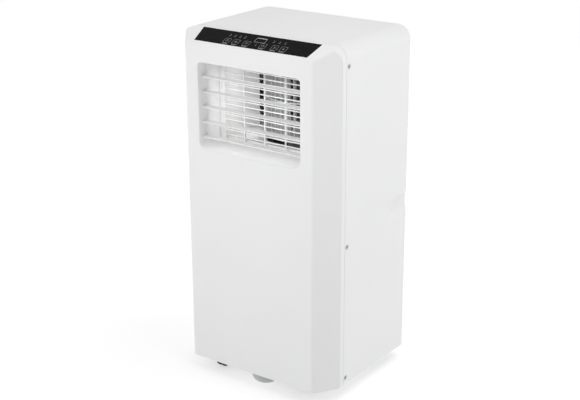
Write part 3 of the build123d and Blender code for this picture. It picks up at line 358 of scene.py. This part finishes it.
class Surface:
    """A procedural material: an even colour with patches, fine bump and uneven gloss."""

    def __init__(self, name, color, roughness, metallic=0.0):
        self.material = bpy.data.materials.new(name)
        self.material.use_nodes = True
        self.tree = self.material.node_tree
        self.shader = self.tree.nodes["Principled BSDF"]
        self.color = (*color, 1.0)
        self.shader.inputs["Base Color"].default_value = self.color
        self.shader.inputs["Roughness"].default_value = roughness
        self.shader.inputs["Metallic"].default_value = metallic
        self.place = self.tree.nodes.new("ShaderNodeTexCoord").outputs["Object"]
        self.normal = None

    def link(self, source, target):
        self.tree.links.new(source, target)

    def node(self, kind, **inputs):
        made = self.tree.nodes.new(kind)
        for key, value in inputs.items():
            made.inputs[key].default_value = value
        return made

    def noise(self, scale, stretch=(1, 1, 1), detail=3.0, rough=0.55):
        """Cloudy pattern in the object's own space; the scale is in cells per metre."""
        mapping = self.node("ShaderNodeMapping", Scale=stretch)
        self.link(self.place, mapping.inputs["Vector"])
        noise = self.node("ShaderNodeTexNoise", Scale=scale, Detail=detail, Roughness=rough)
        self.link(mapping.outputs["Vector"], noise.inputs["Vector"])
        return noise.outputs["Fac"]

    def ranged(self, value, low, high, start=0.3, end=0.7):
        """Carries a value that runs from start to end over to low and high."""
        ramp = self.node("ShaderNodeMapRange")
        ramp.inputs["From Min"].default_value = start
        ramp.inputs["From Max"].default_value = end
        ramp.inputs["To Min"].default_value = low
        ramp.inputs["To Max"].default_value = high
        self.link(value, ramp.inputs["Value"])
        return ramp.outputs["Result"]

    def tint(self, factor, color):
        """Mixes another colour in where factor is high."""
        mix = self.tree.nodes.new("ShaderNodeMix")
        mix.data_type = "RGBA"
        current = self.shader.inputs["Base Color"]
        under, over = (mix.inputs[k] for k in MIX_COLORS)
        if current.links:
            self.link(current.links[0].from_socket, under)
        else:
            under.default_value = self.color
        over.default_value = (*color, 1.0)
        self.link(factor, mix.inputs[MIX_FACTOR])
        self.link(mix.outputs[MIX_COLOR_OUT], current)

    def gloss(self, value, low, high):
        self.link(self.ranged(value, low, high), self.shader.inputs["Roughness"])

    def bump(self, height, strength, distance):
        bump = self.node("ShaderNodeBump", Strength=strength, Distance=distance)
        self.link(height, bump.inputs["Height"])
        if self.normal:
            self.link(self.normal, bump.inputs["Normal"])
        self.normal = bump.outputs["Normal"]
        self.link(self.normal, self.shader.inputs["Normal"])

    def edge(self, radius):
        """1 on worn edges, 0 on flats."""
        bevel = self.node("ShaderNodeBevel", Radius=radius)
        bevel.samples = 4
        flat = self.tree.nodes.new("ShaderNodeNewGeometry")
        dot = self.tree.nodes.new("ShaderNodeVectorMath")
        dot.operation = "DOT_PRODUCT"
        self.link(bevel.outputs["Normal"], dot.inputs[0])
        self.link(flat.outputs["Normal"], dot.inputs[1])
        return self.ranged(dot.outputs["Value"], 1.0, 0.0, start=0.88, end=0.99)


def moulded(name, color, shade, rough=0.36, grain=1500.0, depth=0.05, specular=0.5):
    """Moulded plastic: fine spark texture, slow colour drift, uneven gloss."""
    s = Surface(name, color, rough)
    s.shader.inputs["Specular IOR Level"].default_value = specular
    s.tint(s.ranged(s.noise(7.0, detail=2.0), 0.0, 1.0), shade)
    s.gloss(s.noise(38.0), rough - 0.05, rough + 0.06)
    s.bump(s.noise(55.0, detail=2.0), strength=0.05, distance=0.0004)
    s.bump(s.noise(grain, detail=4.0, rough=0.7), strength=depth, distance=0.0003)
    return s.material


def polished_black(name):
    """Hard glossy panel with faint wipe marks."""
    s = Surface(name, (0.005, 0.005, 0.0053), 0.12)
    s.shader.inputs["Specular IOR Level"].default_value = 0.05
    s.tint(s.ranged(s.noise(60.0, stretch=(1, 2.6, 1)), 0.0, 0.5), (0.012, 0.012, 0.0125))
    s.gloss(s.noise(90.0, stretch=(1, 3, 1), detail=5.0), 0.10, 0.24)
    s.bump(s.noise(24.0, detail=1.0), strength=0.04, distance=0.0003)
    return s.material


def brushed(name, color, stretch, rough=0.32, worn=None):
    """Metal with drawn lines along one direction."""
    s = Surface(name, color, rough, metallic=1.0)
    lines = s.noise(420.0, stretch=stretch, detail=4.0)
    s.tint(s.ranged(s.noise(30.0), 0.0, 0.8), worn or tuple(c * 0.78 for c in color))
    s.gloss(lines, rough - 0.08, rough + 0.12)
    s.bump(lines, strength=0.10, distance=0.0002)
    return s.material


def painted(name, color, chip, rough=0.42):
    """Painted metal with orange peel and bare edges."""
    s = Surface(name, color, rough)
    s.tint(s.ranged(s.noise(18.0), 0.0, 0.5), tuple(clamp(c * 1.5 + 0.004, 0, 1) for c in color))
    s.tint(s.edge(0.0008), chip)
    s.gloss(s.noise(50.0), rough - 0.08, rough + 0.1)
    s.bump(s.noise(260.0, detail=2.0), strength=0.16, distance=0.0004)
    return s.material


def rubbery(name, color):
    """Matt rubber with a fine grain."""
    s = Surface(name, color, 0.72)
    s.tint(s.ranged(s.noise(40.0), 0.0, 0.6), tuple(clamp(c * 1.6 + 0.008, 0, 1) for c in color))
    s.gloss(s.noise(120.0), 0.62, 0.85)
    s.bump(s.noise(1800.0, detail=3.0), strength=0.2, distance=0.0003)
    return s.material


def circuit(name):
    """Green board: darker lanes where the tracks run."""
    s = Surface(name, (0.012, 0.115, 0.045), 0.38)
    cells = s.tree.nodes.new("ShaderNodeTexBrick")
    cells.inputs["Scale"].default_value = 130.0
    cells.inputs["Mortar Size"].default_value = 0.04
    cells.inputs["Color1"].default_value = (1, 1, 1, 1)
    cells.inputs["Color2"].default_value = (0.7, 0.7, 0.7, 1)
    cells.inputs["Mortar"].default_value = (0, 0, 0, 1)
    s.link(s.place, cells.inputs["Vector"])
    s.tint(s.ranged(cells.outputs["Fac"], 0.0, 0.8, start=0.0, end=1.0), (0.03, 0.22, 0.09))
    s.tint(s.ranged(s.noise(80.0), 0.0, 0.4), (0.008, 0.07, 0.03))
    s.gloss(s.noise(200.0), 0.3, 0.45)
    s.bump(cells.outputs["Fac"], strength=0.2, distance=0.0001)
    return s.material


def woven(name, color):
    """Fine nylon mesh strands."""
    s = Surface(name, color, 0.55)
    s.tint(s.ranged(s.noise(25.0), 0.0, 0.7), tuple(c * 0.7 for c in color))
    s.gloss(s.noise(300.0), 0.45, 0.65)
    s.bump(s.noise(2400.0, stretch=(1, 1, 3)), strength=0.3, distance=0.0001)
    return s.material


def printed(name, color):
    """Screen-printed ink, a little uneven."""
    s = Surface(name, color, 0.5)
    s.tint(s.ranged(s.noise(900.0), 0.0, 0.6), tuple(c * 0.75 for c in color))
    s.gloss(s.noise(500.0), 0.42, 0.6)
    s.bump(s.noise(2600.0), strength=0.1, distance=0.00005)
    return s.material


def floor_paper():
    """White paper that glows a little more away from the object."""
    s = Surface("floor_paper", (0.62, 0.62, 0.62), 0.85)
    s.tint(s.ranged(s.noise(2.0), 0.0, 0.3), (0.61, 0.61, 0.612))
    s.gloss(s.noise(6.0), 0.8, 0.9)
    s.shader.inputs["Emission Color"].default_value = (1, 1, 1, 1)
    away = s.tree.nodes.new("ShaderNodeVectorMath")
    away.operation = "LENGTH"
    s.link(s.place, away.inputs[0])
    glow = s.ranged(away.outputs["Value"], *FLOOR_GLOW, *FLOOR_GLOW_RUN)
    s.link(glow, s.shader.inputs["Emission Strength"])
    return s.material


MATERIALS = {
    "white_shell": moulded("shell_white", (0.90, 0.90, 0.90), (0.885, 0.887, 0.89), rough=0.40),
    "white_parts": moulded("parts_white", (0.94, 0.94, 0.935), (0.925, 0.925, 0.92), rough=0.33),
    # The duct and scroll walls are coloured lighter than the shell's white: painted brightness that stands
    # in for light bounced round inside the outlet.
    "duct_grey": moulded("duct_white_painted_bright", (0.93, 0.93, 0.93), (0.90, 0.90, 0.90), rough=0.45),
    "drum_grey": moulded("drum_grey", (0.62, 0.625, 0.63), (0.66, 0.665, 0.67), rough=0.48),
    "panel_black": polished_black("panel_black"),
    "circuit_green": circuit("circuit_green"),
    "display_dark": moulded("display_dark", (0.02, 0.02, 0.022), (0.03, 0.03, 0.032), rough=0.2),
    "steel": brushed("steel_zinc", (0.44, 0.45, 0.46), (1, 1, 6)),
    "pan_grey": moulded("pan_grey", (0.52, 0.525, 0.53), (0.47, 0.475, 0.48), rough=0.5),
    "caster_black": moulded("caster_black", (0.016, 0.016, 0.017), (0.026, 0.026, 0.027), rough=0.42),
    "compressor_black": painted("compressor_black", (0.014, 0.014, 0.015), (0.30, 0.30, 0.30)),
    "copper": brushed("copper", (0.72, 0.36, 0.22), (1, 1, 1), rough=0.3, worn=(0.42, 0.20, 0.12)),
    "fins": brushed("fin_aluminium", (0.78, 0.79, 0.80), (1, 1, 4), rough=0.36),
    "motor_metal": painted("motor_metal", (0.42, 0.43, 0.44), (0.62, 0.62, 0.62), rough=0.45),
    "rubber_black": rubbery("rubber_black", (0.02, 0.02, 0.02)),
    "rubber_white": rubbery("rubber_white", (0.76, 0.76, 0.75)),
    "filter_net": woven("filter_net", (0.22, 0.23, 0.25)),
    "hub_grey": moulded("hub_grey", (0.055, 0.056, 0.058), (0.07, 0.071, 0.073), rough=0.4),
    "capacitor_can": brushed("capacitor_can", (0.74, 0.75, 0.76), (6, 6, 1), rough=0.3),
}
INK = printed("panel_ink", (0.50, 0.51, 0.52))
DIM_INK = printed("panel_dim_ink", (0.26, 0.265, 0.27))
GOLD = brushed("contact_gold", (0.80, 0.58, 0.28), (1, 1, 1), rough=0.25)


def dress_frame():
    """Gives every CAD node its slot's material."""
    slots = {part["node"]: part["material_slot"] for part in frame["record"]["subparts"]}
    for name, obj in NODES.items():
        obj.data.materials.clear()
        obj.data.materials.append(MATERIALS[slots[name]])


# Control panel

def panel_matrix():
    """Places the plane of the panel: X across, Y up the slope from the lens's front edge, Z outward."""
    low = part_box("control_lens")[0]
    slope = math.hypot(*LENS_RUN)
    run = Vector((0, LENS_RUN[0] / slope, LENS_RUN[1] / slope))
    normal = Vector((0, -run.z, run.y))
    corner = Vector((0, low.y, low.z + LENS_T * normal.z))
    rows = ((1, 0, 0, 0), (0, run.y, normal.y, corner.y), (0, run.z, normal.z, corner.z), (0, 0, 0, 1))
    return Matrix(rows)


PANEL = panel_matrix()


def mark(build, x, up, half, tall):
    """Flat printed bar on the panel, half wide to each side of x."""
    build.box((x - half, up, 0), (x + half, up + tall, ICON_T), PANEL)


def symbol(build, kind, x, y, size):
    """A small generic sign inside a touch button; its strokes are fractions of its size."""
    half = ICON_LINE / 2
    here = PANEL @ Matrix.Translation((x, y, 0))
    if kind in ("power", "clock"):
        rim, hole = circle_outline(size, (x, y)), circle_outline(size - ICON_LINE, (x, y))
        build.frame_of(rim, hole, 0, ICON_T, PANEL)
    if kind == "power":
        build.box((x - half, y, 0), (x + half, y + size * 1.5, CROSSING_T), PANEL)
    elif kind == "clock":
        build.box((x - half, y - half, 0), (x + half, y + size * 0.75, CROSSING_T), PANEL)
        build.box((x + half, y - half, 0), (x + size * 0.6, y + half, CROSSING_T), PANEL)
    elif kind == "dot":
        build.prism(circle_outline(size * 0.55, (x, y)), 0, ICON_T, PANEL)
        for turn in around(here, 8):
            build.box((size * 0.75, -ICON_LINE / 3, 0), (size * 1.15, ICON_LINE / 3, ICON_T), turn)
    elif kind == "bars":
        for k in range(3):
            mark(build, x, y - size * 0.8 + k * size * 0.7, size * (0.5 + 0.25 * k), ICON_LINE)
    elif kind == "fan":
        blade = [(size * 0.2, -half), (size * 1.1, -ICON_LINE), (size * 1.2, ICON_LINE),
                 (size * 0.6, ICON_LINE * 1.5), (size * 0.2, half)]
        for turn in around(here, 3):
            build.prism(blade, 0, ICON_T, turn)
        build.prism(circle_outline(size * 0.22, (x, y)), 0, CROSSING_T, PANEL)
    else:
        arrow = [(x - size * 0.8, y - size * 0.6), (x + size * 0.8, y - size * 0.6), (x, y + size * 0.8)]
        build.prism(arrow, 0, ICON_T, PANEL)


def outline(build, half, corners, centre):
    """Printed line round a rectangle with round corners."""
    inside = [h - ICON_LINE for h in half]
    build.frame_of(rounded_outline(*half, corners[0], centre), rounded_outline(*inside, corners[1], centre),
                   0, ICON_T, PANEL)


def panel_print():
    """Outlined touch buttons with generic signs and bars, indicator marks, and the display's outline."""
    outlines, signs, bars, window = Build(), Build(), Build(), Build()
    for x, kind in zip(BUTTON_X, SIGNS):
        outline(outlines, (BUTTON_SIZE, BUTTON_SIZE), BUTTON_CORNERS, (x, SIGN_UP))
        symbol(signs, kind, x, SIGN_UP, SIGN_SIZE)
        mark(bars, x, BUTTON_BAR_UP, *BUTTON_BAR)
    for x in LAMP_X:
        signs.prism(circle_outline(LAMP_DOT_R, (x, LAMP_DOT_UP), 16), 0, ICON_T, PANEL)
        mark(signs, x, LAMP_UP, *LAMP_BAR)
    for up in MIDDLE_MARK_UP:
        mark(signs, MIDDLE_MARK_X, up, *MIDDLE_MARK)
    outlines.piece("panel_button_outlines", DIM_INK, "housing", "panel_black", smooth=0)
    signs.piece("panel_signs", DIM_INK, "housing", "panel_black", smooth=0)
    bars.piece("panel_button_bars", DIM_INK, "housing", "panel_black", smooth=0)
    outline(window, DISPLAY_HALF, DISPLAY_CORNERS, (DISPLAY_X, DISPLAY_UP))
    top = DISPLAY_UP + DISPLAY_HALF[1]
    inset, lower = DISPLAY_BAND
    mark(window, DISPLAY_X, top - lower, DISPLAY_HALF[0] - inset, lower - ICON_LINE)
    window.piece("display_outline", INK, "housing", "panel_black", smooth=0)


# Coils

def fin_pack(coil, rows):
    """Thin fins between end plates, with the tubes through them."""
    low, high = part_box(f"{coil}_fins")
    fins = Build()
    run = high.x - low.x - 2 * END_PLATE
    count = int(run / FIN_PITCH)
    for i in range(count):
        x = low.x + END_PLATE + run / count * (i + 0.5)
        fins.box((x - FIN_T / 2, low.y + FIN_INSET, low.z), (x + FIN_T / 2, high.y - FIN_INSET, high.z))
    for x in (low.x, high.x - END_PLATE):
        fins.box((x, low.y, low.z), (x + END_PLATE, high.y, high.z))
    fins.piece(f"{coil}_fin_pack", MATERIALS["fins"], "housing", "fins", replaces=(f"{coil}_fins",),
               smooth=0)
    tubes = Build()
    y = (low.y + high.y) / 2
    for k in range(rows):
        z = low.z + (high.z - low.z) / rows * (k + 0.5)
        tubes.tube([(low.x - TUBE_OUT, y, z), (high.x + TUBE_OUT, y, z)], TUBE_R, 16)
    tubes.piece(f"{coil}_tubes", MATERIALS["copper"], "housing", "copper")


def filter_net(node, body):
    """Woven net in a thin frame."""
    low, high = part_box(node)
    mid = (low.y + high.y) / 2
    half = NET_T / 2
    net = Build()
    for x in evenly(low.x, high.x, NET_PITCH, NET_T):
        net.box((x - half, mid - NET_T, low.z + NET_T), (x + half, mid, high.z - NET_T))
    for z in evenly(low.z, high.z, NET_PITCH, NET_T):
        net.box((low.x + NET_T, mid, z - half), (high.x - NET_T, mid + NET_T, z + half))
    net.piece(f"{node}_net", MATERIALS["filter_net"], body, "filter_net", replaces=(node,), smooth=0)
    edge = Build()
    for x in (low.x, high.x - NET_RIM, -NET_RIM / 2):
        edge.box((x, mid - NET_RIM_HALF, low.z), (x + NET_RIM, mid + NET_RIM_HALF, high.z))
    for z in (low.z, high.z - NET_RIM):
        edge.box((low.x, mid - NET_RIM_HALF * 0.9, z), (high.x, mid + NET_RIM_HALF * 0.9, z + NET_RIM))
    edge.piece(f"{node}_rim", MATERIALS["caster_black"], body, "caster_black", bevel=0.0004, smooth=0)


# Working parts

def placed(x, y, z, axis="Z"):
    """Matrix whose own Z points along an axis of the object, at a point."""
    quarter = math.pi / 2
    turns = {"Z": (0.0, "X"), "Y": (-quarter, "X"), "X": (quarter, "Y"), "-X": (-quarter, "Y")}
    angle, about = turns[axis]
    return Matrix.Translation((x, y, z)) @ Matrix.Rotation(angle, 4, about)


def middle(node):
    """Centre of a node's box."""
    low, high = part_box(node)
    return (low + high) / 2


def spring_coils():
    """Wound contact springs between the board and the lens."""
    coils = Build()
    last = SPRING_TURNS * SPRING_STEPS
    for x in BUTTON_X:
        path = []
        for k in range(last + 1):
            a = 2 * math.pi * k / SPRING_STEPS
            path.append(PANEL @ Vector((x + SPRING_R * math.cos(a), BUTTON_UP + SPRING_R * math.sin(a),
                                        SPRING_LOW + SPRING_TALL * k / last)))
        coils.tube(path, SPRING_WIRE, 6)
    coils.piece("touch_spring_coils", MATERIALS["steel"], "housing", "steel", replaces=("touch_springs",))


def hub_caps():
    """Domed cap with spokes on the outer face of each caster wheel."""
    for place in ("front_left", "front_right", "rear_left", "rear_right"):
        node = f"caster_wheels_{place}"
        low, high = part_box(node)
        mid = (low + high) / 2
        caps = Build()
        for x, axis in ((low.x, "-X"), (high.x, "X")):
            at = placed(x, mid.y, mid.z, axis)
            caps.turned(HUB_CAP, 28, at)
            caps.ring(HUB_RIM, 32, at)
            for turn in around(at, HUB_SPOKES):
                caps.box(*HUB_SPOKE, turn)
        caps.piece(f"hub_caps_{place}", MATERIALS["hub_grey"], node, "caster_black", bevel=0.0002)


def compressor_details():
    """Weld beads round the can and the terminal cover's wire clip."""
    low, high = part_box("compressor")
    mid = middle("terminal_cover")
    beads = Build()
    bead = [(COMP_R - SINK + r, z) for r, z in circle_outline(WELD_R, sides=8)]
    for z in (low.z + WELD_LOW, high.z - WELD_HIGH):
        beads.ring(bead, 64, placed(mid.x, mid.y, z))
    beads.piece("compressor_welds", MATERIALS["compressor_black"], "housing", "compressor_black")
    clip = Build()
    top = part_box("terminal_cover")[1].z
    path = [(-x, z) for x, z in CLIP_HALF] + list(reversed(CLIP_HALF))
    clip.tube([(mid.x + x, mid.y, top + z) for x, z in path], CLIP_WIRE, 10)
    clip.piece("terminal_clip", MATERIALS["steel"], "housing", "steel")


def bolt_head(build, matrix, r, tall):
    """Hexagon head with a washer under it."""
    washer_r, washer_t = r * 1.6, tall * 0.25
    build.turned([(0, 0), (washer_r, 0), (washer_r, washer_t), (0, washer_t)], 24, matrix)
    build.prism(circle_outline(r, sides=6), tall * 0.2, tall, matrix)


def compressor_bolts():
    """A bolt head on each of the compressor's rubber feet."""
    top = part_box("compressor_grommets")[1].z
    centre = middle("terminal_cover")
    bolts = Build()
    for dx, dy in COMP_FEET:
        bolt_head(bolts, placed(centre.x + dx, centre.y + dy, top + BOLT_GAP), BOLT_R, BOLT_TALL)
    bolts.piece("compressor_bolts", MATERIALS["steel"], "housing", "steel", bevel=0.0002)


def motor_vents():
    """Raised vent ribs round each blower motor."""
    blower = middle("upper_blower")
    lower = middle("lower_fan_motor")
    motors = (("upper", placed(blower.x, blower.y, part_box("upper_fan_motor")[0].z), UPPER_RIB_END),
              ("lower", placed(lower.x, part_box("lower_fan_motor")[0].y, lower.z, "Y"), LOWER_RIB_END))
    for name, base, end in motors:
        ribs = Build()
        for turn in around(base, RIBS):
            ribs.box((MOTOR_R - SINK, -RIB_HALF, RIB_START), (MOTOR_R + RIB_OUT, RIB_HALF, end), turn)
        ribs.piece(f"{name}_motor_ribs", MATERIALS["motor_metal"], "housing", "motor_metal", bevel=0.0003)


def board_parts():
    """Relays, chips and capacitors on the power board, and gold pads on the control board."""
    relays, chips, cans, pads = Build(), Build(), Build(), Build()
    low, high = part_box("power_board")
    wide, tall = high.x - low.x, high.z - low.z
    for build, parts, thick in ((relays, RELAYS, RELAY_T), (chips, CHIPS, CHIP_T)):
        for u, v, w, h in parts:
            x, z = low.x + u * wide, low.z + v * tall
            half_w, half_h = w * wide / 2, h * tall / 2
            build.box((x - half_w, high.y, z - half_h), (x + half_w, high.y + thick, z + half_h))
    leg_half, leg_t, leg_out = CHIP_LEG
    for u, v, w, h in CHIPS:
        for k in range(CHIP_LEGS):
            x = low.x + u * wide + w * wide * (k / (CHIP_LEGS - 1) - 0.5) * CHIP_LEG_ROW
            for side in (-1, 1):
                z = low.z + v * tall + side * h * tall / 2
                cans.box((x - leg_half, high.y, z - leg_out), (x + leg_half, high.y + leg_t, z + leg_out))
    for u, v, r, t in CANS:
        at = placed(low.x + u * wide, high.y, low.z + v * tall, "Y")
        cans.turned([(0, 0), (r, 0), (r, t - CAN_CHAMFER), (r - CAN_CHAMFER, t), (0, t)], 24, at)
    relays.piece("board_relays", MATERIALS["rubber_white"], "housing", "rubber_white", bevel=0.0004)
    chips.piece("board_chips", MATERIALS["caster_black"], "housing", "caster_black", bevel=0.0002)
    cans.piece("board_capacitors", MATERIALS["capacitor_can"], "housing", "capacitor_can")
    board_top = LENS_SUNK - BOARD_SUNK
    for x in BUTTON_X:
        pads.prism(circle_outline(PAD_R, (x, BUTTON_UP)), board_top, board_top + PAD_T, PANEL)
    pads.piece("touch_pads", GOLD, "housing", "copper")


# Camera, light and floor

def camera():
    """Looks from the front right and a little above, as the photograph does."""
    yaw, pitch = CAMERA_YAW, CAMERA_PITCH
    ahead = Vector((-math.sin(yaw) * math.cos(pitch), math.cos(yaw) * math.cos(pitch), math.sin(pitch)))
    right = Vector((math.cos(yaw), math.sin(yaw), 0))
    up = right.cross(ahead)
    turn = Matrix((right, up, -ahead)).transposed().to_4x4()
    data = bpy.data.cameras.new("camera")
    data.lens = CAMERA_LENS
    data.sensor_width = SENSOR
    data.clip_start = CAMERA_NEAR
    obj = bpy.data.objects.new("camera", data)
    obj.matrix_world = Matrix.Translation(CAMERA_PLACE) @ turn @ Matrix.Rotation(CAMERA_ROLL, 4, "Z")
    bpy.context.scene.collection.objects.link(obj)
    bpy.context.scene.camera = obj


def soft_light(name, place, target, size, power, spread=180.0):
    """Rectangular lamp that the camera does not see."""
    data = bpy.data.lights.new(name, "AREA")
    data.spread = math.radians(spread)
    data.shape = "RECTANGLE"
    data.size, data.size_y = size
    data.energy = power
    obj = bpy.data.objects.new(name, data)
    obj.location = place
    obj.rotation_euler = (Vector(target) - Vector(place)).to_track_quat("-Z", "Y").to_euler()
    obj.visible_camera = False
    bpy.context.scene.collection.objects.link(obj)


def studio_world():
    """White surroundings whose light is weaker on the side that the right front chamfer faces.

    The camera sees them evenly white.
    """
    world = bpy.data.worlds.new("studio")
    world.use_nodes = True
    tree = world.node_tree
    place = tree.nodes.new("ShaderNodeTexCoord")
    dot = tree.nodes.new("ShaderNodeVectorMath")
    dot.operation = "DOT_PRODUCT"
    dot.inputs[1].default_value = DARK_SIDE
    tree.links.new(place.outputs["Generated"], dot.inputs[0])
    ramp = tree.nodes.new("ShaderNodeMapRange")
    ramp.interpolation_type = "SMOOTHSTEP"
    ramp.inputs["From Min"].default_value = DARK_START
    ramp.inputs["From Max"].default_value = DARK_END
    ramp.inputs["To Min"].default_value = WORLD_BRIGHT
    ramp.inputs["To Max"].default_value = WORLD_DARK
    tree.links.new(dot.outputs["Value"], ramp.inputs["Value"])
    background = tree.nodes["Background"]
    background.inputs["Color"].default_value = (1, 1, 1, 1)
    seen = tree.nodes.new("ShaderNodeLightPath")
    mix = tree.nodes.new("ShaderNodeMix")
    lit, shown = (mix.inputs[k] for k in MIX_FLOATS)
    shown.default_value = WORLD_SEEN
    tree.links.new(seen.outputs["Is Camera Ray"], mix.inputs[MIX_FACTOR])
    tree.links.new(ramp.outputs["Result"], lit)
    tree.links.new(mix.outputs[MIX_FLOAT_OUT], background.inputs["Strength"])
    bpy.context.scene.world = world


def studio():
    """Lamps, plain colour transform and the floor."""
    studio_world()
    for lamp in SOFTBOXES:
        soft_light(*lamp)
    for k in range(DUCT_FILLS):
        z = LOUVER_LOW + LOUVER_PITCH * (k + 0.5)
        soft_light(f"duct_fill_{k}", (0.0, DUCT_FILL_Y, z), (0.0, 0.0, z), DUCT_FILL_SIZE, DUCT_FILL_POWER)
    for lamp in INNER_FILLS:
        soft_light(*lamp)
    view = bpy.context.scene.view_settings
    view.view_transform = "Standard"
    view.look = "None"
    mesh = bpy.data.meshes.new("floor")
    corners = [(x * FLOOR_HALF, y * FLOOR_HALF, 0) for x, y in ((-1, -1), (1, -1), (1, 1), (-1, 1))]
    mesh.from_pydata(corners, [], [(0, 1, 2, 3)])
    mesh.materials.append(floor_paper())
    obj = bpy.data.objects.new("floor", mesh)
    bpy.context.scene.collection.objects.link(obj)


dress_frame()
panel_print()
spring_coils()
hub_caps()
compressor_details()
compressor_bolts()
motor_vents()
board_parts()
fin_pack("evaporator", 8)
fin_pack("condenser", 9)
filter_net("upper_filter", "upper_filter_door")
filter_net("lower_filter", "lower_filter_door")
camera()
studio()
